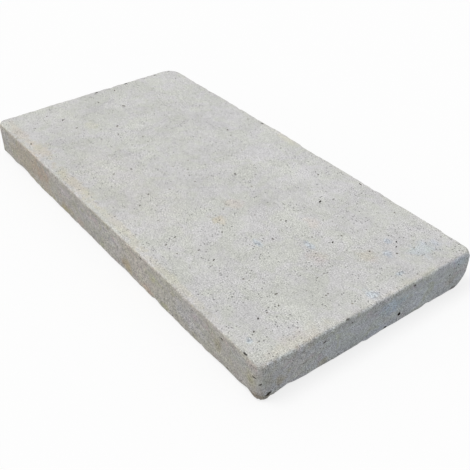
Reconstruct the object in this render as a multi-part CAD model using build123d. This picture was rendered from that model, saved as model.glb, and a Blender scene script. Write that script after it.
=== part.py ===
from build123d import *
import os
from math import cos, pi, sin, sqrt

# A tumbled pool coping stone: one sawn block of travertine with worn arrises,
# knocked corners, chips and open pores.
# Millimetres. +X runs along the long edge, +Y across the block, +Z up.
# The origin is in the middle of the underside.
# The near side is -Y, the far side +Y, the left end -X and the right end +X.

# Sawn block
length = 610.0
width = 305.0
thickness = 50.0

# Rounding of the upright corners, seen from above
near_left_corner = 8.0
near_right_corner = 9.0
far_right_corner = 6.5
far_left_corner = 26.0

# Wear of each arris: how far it is set back on both of its faces, at places
# along it. A place is a share of the half length or half width, from -1 to 1.
# The far top arris keeps one proud stretch that breaks off near the middle.
arris_wear = {
    "top near": [(-1, 2.8), (-0.6, 2.0), (0.1, 2.4), (0.45, 1.9), (0.85, 2.6), (1, 4.5)],
    "top far": [(-1, 8.0), (-0.94, 5.2), (-0.8, 5.4), (-0.72, 6.8), (-0.62, 3.4), (-0.2, 3.0), (-0.14, 1.4),
                (0.03, 1.4), (0.05, 4.8), (0.3, 2.6), (0.45, 3.2), (0.8, 4.4), (0.92, 4.0), (1, 9.0)],
    "top right": [(-1, 5.0), (-0.5, 3.4), (0.3, 3.2), (0.75, 4.6), (1, 7.0)],
    "top left": [(-1, 6.0), (-0.9, 4.0), (-0.2, 3.6), (0.5, 3.4), (0.9, 5.4), (1, 8.0)],
    "bottom near": [(-1, 7.0), (-0.88, 8.6), (-0.72, 8.2), (-0.62, 4.6), (0.2, 4.2), (0.46, 3.0),
                    (0.76, 4.6), (0.86, 7.0), (1, 7.0)],
    "bottom far": [(-1, 8.0), (-0.3, 5.0), (0.4, 5.6), (1, 8.0)],
    "bottom right": [(-1, 5.5), (-0.9, 2.2), (-0.76, 9.2), (-0.68, 8.0), (-0.56, 3.6), (-0.3, 5.2),
                     (0.1, 4.2), (0.55, 6.4), (0.72, 4.6), (0.86, 6.0), (1, 9.0)],
    "bottom left": [(-1, 6.0), (0.1, 5.0), (1, 7.5)],
}

# The wear wavers along an arris by a share of itself, in long and short waves
wear_waver = 0.14
long_wave = 92.0
short_wave = 47.0
station_step = 15.0
arris_chords = 4

# Clear space that each cutting shape has outside the block
overcut = 6.0

# Knocked corners: which end, side and face, and the reach along X, Y and Z
knocked_corners = [
    (1, 1, -1, 19.0, 24.0, 31.0),
    (1, -1, -1, 12.0, 10.0, 9.0),
    (-1, -1, -1, 13.0, 12.0, 10.0),
    (-1, 1, 1, 24.0, 26.0, 12.0),
    (1, 1, 1, 14.0, 15.0, 15.0),
    (1, -1, 1, 11.0, 10.0, 10.0),
    (-1, 1, -1, 23.0, 22.0, 14.0),
    (-1, -1, 1, 14.0, 9.0, 16.0),
]

# A knocked corner is part of a ball this many times as big as the circle
# through its three reaches
knock_ball = 3.0

# Chips: the arris, the share along it, the run and the bite into the sharp arris
arris_chips = [
    ("top near", -0.78, 9.0, 1.7),
    ("top near", -0.36, 17.0, 1.9),
    ("top near", 0.22, 8.0, 1.6),
    ("top near", 0.58, 12.0, 1.7),
    ("top far", -0.66, 26.0, 2.6),
    ("top far", -0.41, 15.0, 2.4),
    ("top far", 0.49, 17.0, 2.0),
    ("top far", 0.88, 26.0, 3.0),
    ("top right", -0.67, 15.0, 2.4),
    ("top right", -0.05, 9.0, 2.1),
    ("top right", 0.52, 21.0, 3.0),
    ("top left", -0.62, 19.0, 2.4),
    ("top left", 0.22, 12.0, 2.8),
    ("bottom near", -0.60, 16.0, 2.4),
    ("bottom near", -0.22, 10.0, 2.6),
    ("bottom near", 0.39, 21.0, 3.2),
    ("bottom near", 0.68, 11.0, 2.9),
    ("bottom near", 0.93, 17.0, 4.6),
    ("bottom right", -0.10, 14.0, 2.8),
    ("bottom right", 0.56, 19.0, 3.8),
    ("bottom far", -0.55, 24.0, 3.9),
    ("bottom far", 0.10, 16.0, 3.6),
    ("bottom left", 0.34, 17.0, 3.7),
]

# A pore is a pocket with an uneven mouth, a leaning wall and a smaller floor
pore_corners = 8
pore_uneven = 0.17
pore_floor = 0.55
pore_lean = 0.12
pore_overcut = 1.0

# Open pores of each face: shares of the face's half size, then how long, wide
# and deep the pore is in millimetres, and how far it is turned in degrees
open_pores = {
    "top": [
        (-0.77, 0.12, 6.4, 3.8, 2.4, 20), (0.06, 0.23, 4.0, 2.4, 2.4, -20),
        (0.43, 0.52, 5.6, 2.4, 2.6, -60), (0.66, 0.23, 3.8, 2.0, 2.2, -50),
        (0.65, 0.34, 3.4, 2.2, 1.8, -20), (0.45, 0.63, 3.2, 2.2, 1.8, 80),
        (-0.27, 0.64, 4.2, 2.4, 1.8, -25), (-0.22, 0.60, 3.0, 1.9, 1.4, -60),
        (0.45, 0.13, 3.4, 2.3, 1.9, -50), (-0.61, -0.14, 5.0, 3.0, 2.0, -35),
        (-0.54, -0.21, 3.6, 2.1, 1.5, -20), (-0.82, -0.49, 4.4, 2.6, 2.0, -35),
        (-0.71, -0.46, 4.2, 2.8, 1.8, -70), (-0.90, -0.58, 3.6, 2.1, 1.5, -20),
        (-0.95, 0.22, 4.8, 2.0, 1.7, -25), (-0.88, -0.04, 5.0, 2.0, 1.7, -5),
        (-0.46, 0.41, 3.0, 1.8, 1.5, -30), (-0.64, 0.82, 3.2, 2.0, 1.5, -35),
        (-0.88, 0.87, 3.4, 1.9, 1.5, -30), (0.78, 0.37, 3.0, 2.0, 1.9, -70),
        (0.85, 0.51, 3.4, 2.3, 1.8, -20), (0.36, -0.35, 2.8, 2.0, 1.8, -20),
        (0.51, -0.10, 3.6, 2.4, 1.8, 5), (0.24, -0.16, 2.6, 1.7, 1.3, 5),
        (-0.05, -0.09, 3.0, 1.9, 1.6, -40), (-0.09, -0.05, 3.0, 2.1, 1.4, -20),
        (-0.24, -0.43, 3.4, 2.2, 1.6, 10), (-0.25, -0.59, 3.6, 2.0, 1.5, -65),
        (-0.03, -0.52, 3.0, 1.9, 1.5, -65), (0.02, -0.66, 3.0, 1.8, 1.6, -35),
        (0.28, -0.67, 3.4, 1.9, 1.5, -60), (0.30, -0.78, 3.2, 2.1, 1.7, -80),
        (0.40, -0.62, 3.2, 1.7, 1.4, -80), (0.48, -0.60, 4.2, 1.8, 1.6, -55),
        (0.63, -0.56, 2.6, 1.7, 1.4, -10), (0.82, -0.73, 3.4, 2.1, 2.2, -35),
        (0.81, -0.54, 3.0, 1.8, 1.6, -10), (0.76, -0.48, 4.2, 1.8, 1.5, 88),
        (0.86, -0.83, 3.0, 1.7, 1.5, -50), (-0.70, -0.93, 4.0, 2.1, 1.6, 0),
    ],
    "near": [
        (0.97, 0.22, 6.0, 2.0, 2.6, 5), (0.80, 0.64, 4.8, 1.8, 2.0, 5), (0.30, 0.84, 5.4, 2.4, 2.0, -4),
        (0.63, 0.68, 3.2, 1.5, 1.4, 30), (0.52, -0.28, 2.8, 1.4, 1.3, 40), (0.67, -0.44, 2.8, 1.5, 1.3, 0),
        (0.83, -0.72, 4.0, 2.0, 2.0, 5), (0.50, -0.80, 3.2, 1.6, 1.4, 0), (-0.09, -0.80, 5.6, 2.6, 2.2, 5),
        (-0.02, -0.84, 4.2, 1.8, 1.7, 10), (-0.47, -0.76, 3.0, 1.6, 1.3, 0),
        (-0.63, 0.44, 3.6, 1.6, 1.6, -4),
        (-0.40, 0.10, 2.8, 1.4, 1.2, 3), (0.12, 0.16, 2.6, 1.4, 1.2, -2),
    ],
    "right": [
        (0.26, -0.47, 5.8, 4.4, 4.4, -45), (0.13, -0.80, 4.8, 3.6, 3.4, -10),
        (0.38, 0.78, 4.4, 2.6, 2.0, -15),
        (-0.46, 0.44, 4.0, 2.0, 1.8, 10), (-0.22, 0.68, 3.2, 1.6, 1.5, -30),
        (0.24, -0.70, 3.6, 1.6, 1.6, 84),
        (0.00, 0.52, 2.8, 1.4, 1.3, -4), (0.77, 0.16, 4.0, 2.4, 1.8, 15), (-0.32, -0.76, 5.2, 1.4, 1.4, -5),
        (-0.83, -0.78, 4.0, 2.0, 2.0, 15), (-0.64, -0.10, 2.8, 1.4, 1.3, 2),
        (0.58, -0.80, 3.6, 1.8, 1.6, -30),
    ],
    "far": [
        (-0.82, -0.30, 3.8, 1.8, 1.6, -3), (-0.72, 0.20, 4.8, 2.0, 1.9, 3), (-0.41, -0.48, 4.0, 1.8, 1.6, 0),
        (-0.18, -0.35, 5.4, 2.3, 2.2, -2), (0.04, 0.22, 3.6, 1.8, 1.6, 4), (0.22, 0.45, 4.0, 1.8, 1.7, 0),
        (0.47, -0.20, 4.2, 1.9, 1.7, -4), (0.68, -0.10, 4.6, 2.0, 1.9, 5), (0.87, 0.34, 3.6, 1.8, 1.6, 0),
    ],
    "left": [
        (-0.55, 0.30, 4.8, 2.0, 1.9, -4), (-0.24, 0.05, 3.4, 1.6, 1.4, 0), (0.08, -0.40, 4.4, 2.3, 2.0, 2),
        (0.36, 0.34, 3.6, 1.8, 1.6, -3), (0.60, 0.15, 3.8, 1.9, 1.7, 0),
    ],
    "under": [
        (-0.64, 0.35, 5.8, 3.4, 2.4, 20), (-0.80, -0.42, 4.0, 2.5, 1.8, -15),
        (-0.22, -0.16, 4.4, 2.7, 1.9, 50),
        (0.08, 0.62, 3.8, 2.2, 1.7, 5), (0.35, -0.48, 6.4, 3.6, 2.6, -35), (0.51, 0.14, 3.6, 2.2, 1.7, 70),
        (0.72, 0.55, 4.4, 2.7, 2.0, 60), (0.86, -0.64, 4.2, 2.5, 1.8, 0),
    ],
}

# Pores that open on an arris: the arris, the share along it, long and short
arris_pores = [
    ("top near", 0.92, 6.6, 3.0),
    ("top right", -0.26, 6.0, 2.6),
    ("top far", 0.075, 5.6, 3.6),
    ("top far", -0.21, 5.0, 3.0),
    ("top far", 0.45, 8.0, 3.2),
    ("top far", 0.69, 5.0, 3.2),
    ("top far", 0.84, 4.6, 3.2),
    ("top left", 0.06, 7.0, 3.4),
    ("top left", 0.38, 7.0, 4.0),
    ("top left", 0.74, 6.0, 3.2),
    ("bottom right", -0.91, 9.0, 4.6),
]


def sawn_block():
    outline = Rectangle(length, width)
    corners = {
        (-1, -1): near_left_corner,
        (1, -1): near_right_corner,
        (1, 1): far_right_corner,
        (-1, 1): far_left_corner,
    }
    for (end, side), radius in corners.items():
        sharp = (end * length / 2, side * width / 2, 0)
        outline = fillet(outline.vertices().sort_by_distance(sharp)[0], radius)
    return extrude(outline, thickness)


def arris_frame(name):
    # The middle of an arris, the way along it, its two outward ways, its half length.
    level, side = name.split()
    height = thickness if level == "top" else 0
    up = Vector(0, 0, 1 if level == "top" else -1)
    if side in ("near", "far"):
        out = Vector(0, 1 if side == "far" else -1, 0)
        return Vector(0, out.Y * width / 2, height), Vector(1, 0, 0), out, up, length / 2
    out = Vector(1 if side == "right" else -1, 0, 0)
    return Vector(out.X * length / 2, 0, height), Vector(0, 1, 0), out, up, width / 2


def worn_places(wear, half, phase):
    # Places along an arris with their setback, spread evenly between the given ones.
    places = []
    for (start, before), (end, after) in zip(wear, wear[1:]):
        steps = max(1, round((end - start) * half / station_step))
        for step in range(steps):
            share = step / steps
            places.append(((start + (end - start) * share) * half, before + (after - before) * share))
    places.append((half + overcut, wear[-1][1]))
    places[0] = (-half - overcut, wear[0][1])
    wavering = []
    for place, setback in places:
        waver = sin(2 * pi * place / long_wave + phase) + sin(2 * pi * place / short_wave + 2 * phase)
        wavering.append((place, setback * (1 + wear_waver * waver)))
    return wavering


def waste_profile(middle, out, up, setback):
    # The waste beyond a worn arris: a quarter round in chords, then clear space.
    points = []
    for step in range(arris_chords + 1):
        angle = pi / 2 * step / arris_chords
        points.append(middle - out * setback * (1 - sin(angle)) - up * setback * (1 - cos(angle)))
    points.append(points[-1] + out * overcut)
    points.append(middle + (out + up) * overcut)
    points.append(points[0] + up * overcut)
    return make_face(Polyline(*points, close=True))


def worn_arris(name, wear, phase):
    middle, along, out, up, half = arris_frame(name)
    places = worn_places(wear, half, phase)
    profiles = [waste_profile(middle + along * place, out, up, setback) for place, setback in places]
    return loft(profiles, ruled=True)


def knocked_corner(end, side, face, reach_x, reach_y, reach_z):
    # Everything near the corner that lies outside a big ball through the three reaches.
    at_x, at_y, at_z = Vector(reach_x, 0, 0), Vector(0, reach_y, 0), Vector(0, 0, reach_z)
    one, two = at_x - at_z, at_y - at_z
    normal = one.cross(two)
    middle = (two * one.length**2 - one * two.length**2).cross(normal) * (0.5 / normal.length**2)
    inner = middle.length * sqrt(knock_ball**2 - 1)
    centre = at_z + middle + normal.normalized() * inner
    sides = [centre.X + overcut, centre.Y + overcut, centre.Z + overcut]
    waste = Pos(*[edge / 2 - overcut for edge in sides]) * Box(*sides)
    waste -= Pos(centre) * Sphere(middle.length * knock_ball)
    if end > 0:
        waste = mirror(waste, Plane.YZ)
    if side > 0:
        waste = mirror(waste, Plane.XZ)
    if face > 0:
        waste = mirror(waste, Plane.XY)
    height = thickness if face > 0 else 0
    return Pos(end * length / 2, side * width / 2, height) * waste


def arris_chip(name, share, run, bite):
    # A shallow round dish that opens the arris over its run.
    middle, along, out, up, half = arris_frame(name)
    radius = (run**2 / 4 + bite**2) / (2 * bite)
    centre = middle + along * share * half + (out + up).normalized() * (radius - bite)
    return Pos(centre) * Sphere(radius)


def pore(long, short, depth, rise):
    # The mouth's corners lie unevenly about an oval, and the floor is its small copy.
    mouth, floor = [], []
    for step in range(pore_corners):
        angle = 2 * pi * step / pore_corners
        spread = 1 + pore_uneven * sin(2 * angle + long * depth + short * step)
        across, up = spread * long / 2 * cos(angle), spread * short / 2 * sin(angle)
        mouth.append((across, up, rise))
        floor.append((pore_floor * across + pore_lean * long, pore_floor * up, -depth))
    return loft([make_face(Polyline(*points, close=True)) for points in (mouth, floor)], ruled=True)


def arris_pore(name, share, long, short):
    middle, along, out, up, half = arris_frame(name)
    frame = Plane(middle + along * share * half, x_dir=along, z_dir=(out + up).normalized())
    return frame * pore(long, short, short, overcut)


def face_pores():
    mid = thickness / 2
    faces = {
        "top": (Plane((0, 0, thickness), x_dir=(1, 0, 0), z_dir=(0, 0, 1)), length / 2, width / 2),
        "under": (Plane((0, 0, 0), x_dir=(1, 0, 0), z_dir=(0, 0, -1)), length / 2, width / 2),
        "near": (Plane((0, -width / 2, mid), x_dir=(1, 0, 0), z_dir=(0, -1, 0)), length / 2, mid),
        "far": (Plane((0, width / 2, mid), x_dir=(-1, 0, 0), z_dir=(0, 1, 0)), length / 2, mid),
        "right": (Plane((length / 2, 0, mid), x_dir=(0, 1, 0), z_dir=(1, 0, 0)), width / 2, mid),
        "left": (Plane((-length / 2, 0, mid), x_dir=(0, -1, 0), z_dir=(-1, 0, 0)), width / 2, mid),
    }
    pockets = []
    for name, (face, half_wide, half_high) in faces.items():
        for across, up, long, short, depth, turn in open_pores[name]:
            place = Pos(across * half_wide, up * half_high, 0) * Rot(0, 0, turn)
            pockets.append(face * place * pore(long, short, depth, pore_overcut))
    return pockets


def coping_stone():
    waste = [worn_arris(name, wear, phase) for phase, (name, wear) in enumerate(arris_wear.items())]
    waste += [knocked_corner(*corner) for corner in knocked_corners]
    waste += [arris_chip(*chip) for chip in arris_chips]
    waste += [arris_pore(*opening) for opening in arris_pores]
    waste += face_pores()
    return sawn_block() - waste


os.makedirs("parts", exist_ok=True)
stone = coping_stone()
print("solids", len(stone.solids()), "volume", round(stone.volume), "size", stone.bounding_box().size)
export_step(stone, "parts/coping_stone.step")
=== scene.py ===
import math

import bmesh
import bpy
import numpy as np
from mathutils import Matrix, Vector, noise


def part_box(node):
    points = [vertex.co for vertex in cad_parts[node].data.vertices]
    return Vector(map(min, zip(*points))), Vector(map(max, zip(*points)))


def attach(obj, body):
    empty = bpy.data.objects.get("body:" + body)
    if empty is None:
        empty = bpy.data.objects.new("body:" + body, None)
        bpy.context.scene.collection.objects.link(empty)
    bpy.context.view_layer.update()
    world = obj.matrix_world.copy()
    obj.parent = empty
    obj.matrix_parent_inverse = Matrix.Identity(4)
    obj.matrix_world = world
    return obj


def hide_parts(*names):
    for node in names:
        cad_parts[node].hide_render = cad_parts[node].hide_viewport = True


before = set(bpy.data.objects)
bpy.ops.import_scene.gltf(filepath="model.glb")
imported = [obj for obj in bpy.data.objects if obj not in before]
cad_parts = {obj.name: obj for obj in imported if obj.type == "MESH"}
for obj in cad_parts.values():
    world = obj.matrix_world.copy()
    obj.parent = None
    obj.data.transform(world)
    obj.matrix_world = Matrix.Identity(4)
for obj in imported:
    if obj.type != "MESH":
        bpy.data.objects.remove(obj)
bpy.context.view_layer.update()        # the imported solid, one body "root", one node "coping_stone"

# A tumbled travertine coping stone. Lengths in the dictionaries are millimetres,
# places along an arris are shares of its half length, and Blender's own are metres.

mm = 0.001
lowCorner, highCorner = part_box("coping_stone")
halfLong = (highCorner.x - lowCorner.x) / 2 / mm
halfWide = (highCorner.y - lowCorner.y) / 2 / mm
high = (highCorner.z - lowCorner.z) / mm


# The block and its wear, as the solid has them

stone = {
    "corners": {("left", "near"): 8.0, ("right", "near"): 9.0,
                ("right", "far"): 6.5, ("left", "far"): 26.0},
    "wear": {                # share along the arris and setback there
        "top near": [(-1, 2.8), (-0.6, 2.0), (0.1, 2.4), (0.45, 1.9), (0.85, 2.6), (1, 4.5)],
        "top far": [(-1, 8.0), (-0.94, 5.2), (-0.8, 5.4), (-0.72, 6.8), (-0.62, 3.4), (-0.2, 3.0),
                    (-0.14, 1.4), (0.03, 1.4), (0.05, 4.8), (0.3, 2.6), (0.45, 3.2), (0.8, 4.4),
                    (0.92, 4.0), (1, 9.0)],
        "top right": [(-1, 5.0), (-0.5, 3.4), (0.3, 3.2), (0.75, 4.6), (1, 7.0)],
        "top left": [(-1, 6.0), (-0.9, 4.0), (-0.2, 3.6), (0.5, 3.4), (0.9, 5.4), (1, 8.0)],
        "bottom near": [(-1, 7.0), (-0.88, 8.6), (-0.72, 8.2), (-0.62, 4.6), (0.2, 4.2), (0.46, 3.0),
                        (0.76, 4.6), (0.86, 7.0), (1, 7.0)],
        "bottom far": [(-1, 8.0), (-0.3, 5.0), (0.4, 5.6), (1, 8.0)],
        "bottom right": [(-1, 5.5), (-0.9, 2.2), (-0.76, 9.2), (-0.68, 8.0), (-0.56, 3.6), (-0.3, 5.2),
                         (0.1, 4.2), (0.55, 6.4), (0.72, 4.6), (0.86, 6.0), (1, 9.0)],
        "bottom left": [(-1, 6.0), (0.1, 5.0), (1, 7.5)],
    },
    "waver": 0.14, "longWave": 92.0, "shortWave": 47.0,
    "knocks": [              # end, side and face of a corner, and the reach of its knock along x, y and z
        (1, 1, -1, 19, 24, 31), (1, -1, -1, 12, 10, 9), (-1, -1, -1, 13, 12, 10), (-1, 1, 1, 24, 26, 12),
        (1, 1, 1, 14, 15, 15), (1, -1, 1, 11, 10, 10), (-1, 1, -1, 23, 22, 14), (-1, -1, 1, 14, 9, 16)],
    "knockBall": 3.0,        # radius of the ball over the radius of its circle through the three reaches
    "chips": [               # arris, share along it, run and bite
        ("top near", -0.78, 9, 1.7), ("top near", -0.36, 17, 1.9), ("top near", 0.22, 8, 1.6),
        ("top near", 0.58, 12, 1.7), ("top far", -0.66, 26, 2.6), ("top far", -0.41, 15, 2.4),
        ("top far", 0.49, 17, 2.0), ("top far", 0.88, 26, 3.0), ("top right", -0.67, 15, 2.4),
        ("top right", -0.05, 9, 2.1), ("top right", 0.52, 21, 3.0), ("top left", -0.62, 19, 2.4),
        ("top left", 0.22, 12, 2.8), ("bottom near", -0.6, 16, 2.4), ("bottom near", -0.22, 10, 2.6),
        ("bottom near", 0.39, 21, 3.2), ("bottom near", 0.68, 11, 2.9), ("bottom near", 0.93, 17, 4.6),
        ("bottom right", -0.1, 14, 2.8), ("bottom right", 0.56, 19, 3.8), ("bottom far", -0.55, 24, 3.9),
        ("bottom far", 0.1, 16, 3.6), ("bottom left", 0.34, 17, 3.7)],
    "blend": 1.4,            # how softly chips and knocks run into the block
    "core": 13.0,            # inset of the inner block that the surface is measured from
    "halvings": 26,          # steps that close in on the worn surface
    "faceStep": 3.4,         # grid on the open faces
    "edgeRows": [0, 1.1, 2.2, 3.4, 4.8, 6.4, 8.2, 10.4, 13.0],
    "wornStart": 1.25, "wornReach": 9.0,    # wear on an arris, cut to 1, and how slowly it fades inwards
    "sideSkin": 3.0,         # depth of the layer that counts as a side
    "crumbled": (305, -148, 0), "crumbStart": 1.3, "crumbReach": 20,    # the broken corner
    "relief": {              # depth, wavelength, seed, octaves, noise level of whole stone, most above it
        "face": (0.10, 26.0, 1, 3, 0.6, 0.0),
        "worn": (0.55, 9.0, 2, 4, 0.25, 0.1),
        "side": (0.60, 15.0, 3, 4, 0.1, 0.0),
        "crumb": (1.9, 3.4, 4, 4, 0.1, 0.0),
    },
    "noiseFade": 0.9, "noiseGap": 2.1, "noiseShift": (17.3, 5.1, 9.7),
    "weld": 0.01, "sharpAngle": 38.0,
}

deepInside = -1e3            # a distance that stands for no surface nearby


def edgeInsets(points):
    x, y, z = points.T
    return {"right": halfLong - x, "left": halfLong + x, "far": halfWide - y, "near": halfWide + y,
            "top": high - z, "bottom": z}


def roundedPair(one, two, radius):
    # distance to a quarter round of that radius, where a point lies inside its square
    reach = np.hypot(np.maximum(radius - one, 0), np.maximum(radius - two, 0)) - radius
    return np.where((one < radius) & (two < radius), reach, deepInside)


def softMost(one, two, blend):
    # the larger of the two, rounded over where they meet
    share = np.maximum(blend - np.abs(one - two), 0) / blend
    return np.maximum(one, two) + share * share * blend / 4


def wornRadius(name, along, half, phase):
    shares, setbacks = zip(*stone["wear"][name])
    turns = 2 * np.pi * along
    waver = np.sin(turns / stone["longWave"] + phase) + np.sin(turns / stone["shortWave"] + 2 * phase)
    return np.interp(along / half, shares, setbacks) * (1 + stone["waver"] * waver)


def knockBalls():
    for end, side, face, *reach in stone["knocks"]:
        atX, atY, atZ = (Vector(reach[i] if i == j else 0 for j in range(3)) for i in range(3))
        one, two = atX - atZ, atY - atZ
        normal = one.cross(two)
        middle = (two * one.length_squared - one * two.length_squared).cross(normal)
        middle /= 2 * normal.length_squared
        inner = middle.length * math.sqrt(stone["knockBall"] ** 2 - 1)
        centre = atZ + middle + normal.normalized() * inner
        ways = Vector((-end, -side, -face))
        corner = Vector((end * halfLong, side * halfWide, high if face > 0 else 0))
        yield corner, ways, centre, middle.length * stone["knockBall"]


def arrisFrame(name):
    # middle of the arris, the way along it, its two outward ways and its half length
    level, side = name.split()
    height = high if level == "top" else 0
    up = Vector((0, 0, 1 if level == "top" else -1))
    if side in ("near", "far"):
        out = Vector((0, 1 if side == "far" else -1, 0))
        return Vector((0, out.y * halfWide, height)), Vector((1, 0, 0)), out, up, halfLong
    out = Vector((1 if side == "right" else -1, 0, 0))
    return Vector((out.x * halfLong, 0, height)), Vector((0, 1, 0)), out, up, halfWide


def stoneDistance(points):
    # below zero inside the stone
    inset = edgeInsets(points)
    distance = -np.min(list(inset.values()), axis=0)
    for phase, name in enumerate(stone["wear"]):
        level, side = name.split()
        along, half = (points[:, 0], halfLong) if side in ("near", "far") else (points[:, 1], halfWide)
        radius = wornRadius(name, along, half, phase)
        distance = np.maximum(distance, roundedPair(inset[level], inset[side], radius))
    for (end, side), radius in stone["corners"].items():
        distance = np.maximum(distance, roundedPair(inset[end], inset[side], radius))
    for corner, ways, centre, radius in knockBalls():
        local = (points - np.array(corner)) * np.array(ways)
        beyond = np.linalg.norm(local - np.array(centre), axis=1) - radius
        near = np.all(local < np.array(centre), axis=1)
        knocked = softMost(distance, np.where(near, beyond, deepInside), stone["blend"])
        distance = np.where(near, knocked, distance)
    for name, share, run, bite in stone["chips"]:
        middle, along, out, up, half = arrisFrame(name)
        radius = (run ** 2 / 4 + bite ** 2) / (2 * bite)
        centre = middle + along * share * half + (out + up).normalized() * (radius - bite)
        dish = radius - np.linalg.norm(points - np.array(centre), axis=1)
        distance = softMost(distance, dish, stone["blend"])
    return distance


def gridLine(half):
    # places from -half to half: close rows at both ends, even steps between
    rows = stone["edgeRows"]
    inner = half - rows[-1]
    steps = max(1, round(2 * inner / stone["faceStep"]))
    middle = [inner * (2 * i / steps - 1) for i in range(1, steps)]
    return np.array([row - half for row in rows] + middle + [half - row for row in reversed(rows)])


def blockGrid():
    # quads over the six faces of the sharp block, sharing their edge points
    lines = [gridLine(halfLong), gridLine(halfWide), gridLine(high / 2) + high / 2]
    sizes = [len(line) for line in lines]
    number = np.full(sizes, -1)
    shell = np.zeros(sizes, bool)
    sides = [(axis, end, tuple(end if i == axis else slice(None) for i in range(3)))
             for axis in range(3) for end in (0, -1)]
    for axis, end, cells in sides:
        shell[cells] = True
    number[shell] = np.arange(shell.sum())
    places = np.argwhere(shell)
    points = np.stack([lines[axis][places[:, axis]] for axis in range(3)], axis=1)
    faces = []
    for axis, end, cells in sides:
        layer = number[cells]
        corners = [layer[:-1, :-1], layer[1:, :-1], layer[1:, 1:], layer[:-1, 1:]]
        quads = np.stack(corners, axis=-1).reshape(-1, 4)
        outward = (end == -1) != (axis == 1)
        faces.append(quads if outward else quads[:, ::-1])
    return points, np.concatenate(faces)


def fitToStone(points):
    # slides each point along its ray from the core until it meets the worn surface
    core = stone["core"]
    low = np.array([-halfLong + core, -halfWide + core, core])
    top = np.array([halfLong - core, halfWide - core, high - core])
    base = np.clip(points, low, top)
    ray = points - base
    near, far = np.zeros(len(points)), np.ones(len(points))
    for _ in range(stone["halvings"]):
        middle = (near + far) / 2
        inside = stoneDistance(base + ray * middle[:, None]) <= 0
        near, far = np.where(inside, middle, near), np.where(inside, far, middle)
    return base + ray * near[:, None], ray / np.linalg.norm(ray, axis=1)[:, None]


def arrisShare(points):
    # 1 on an arris or a corner, 0 on the open faces
    insets = np.sort(np.stack(list(edgeInsets(points).values())), axis=0)
    return np.clip(stone["wornStart"] - insets[1] / stone["wornReach"], 0, 1)


def noiseAt(points, wave, seed, octaves):
    shift = Vector(seed * step for step in stone["noiseShift"])
    fade, gap = stone["noiseFade"], stone["noiseGap"]
    return np.array([noise.fractal(Vector(point) / wave + shift, fade, gap, octaves) for point in points])


def reliefOf(kind, points, share=1.0):
    # how far that relief moves each point out: below zero where it dents the stone
    depth, wave, seed, octaves, whole, most = stone["relief"][kind]
    return depth * share * np.minimum(noiseAt(points, wave, seed, octaves) - whole, most)


def addPointData(mesh, name, values, kind="FLOAT", field="value"):
    mesh.attributes.new(name, kind, "POINT").data.foreach_set(field, values)


def addObject(name, data):
    made = bpy.data.objects.new(name, data)
    bpy.context.scene.collection.objects.link(made)
    return made


def makeStoneMesh():
    points, faces = blockGrid()
    points, ray = fitToStone(points)
    worn = arrisShare(points)
    skin = stone["sideSkin"]
    sides = np.max(np.abs(points[:, :2]) - (halfLong - skin, halfWide - skin), axis=1) > 0
    relief = reliefOf("face", points) + reliefOf("worn", points, worn)
    relief += reliefOf("side", points, sides) * (1 - worn)
    away = np.linalg.norm(points - stone["crumbled"], axis=1)
    crumbs = np.clip(stone["crumbStart"] - away / stone["crumbReach"], 0, 1)
    broken = np.flatnonzero(crumbs)
    relief[broken] += reliefOf("crumb", points[broken], crumbs[broken])
    points = points + ray * relief[:, None]
    # the tumbler only takes stone away, so nothing stands above the sawn faces
    points = np.clip(points, (-halfLong, -halfWide, 0), (halfLong, halfWide, high))
    mesh = bpy.data.meshes.new("travertineSlab")
    mesh.from_pydata((points * mm).tolist(), [], faces.tolist())
    addPointData(mesh, "wornEdge", worn.astype(np.float32))
    mesh.update()
    return addObject("travertineSlab", mesh)


slab = makeStoneMesh()
print("stone grid", len(slab.data.vertices), "points")


# Pores: the chosen ones stand where the solid has them, the small ones are strewn

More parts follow.
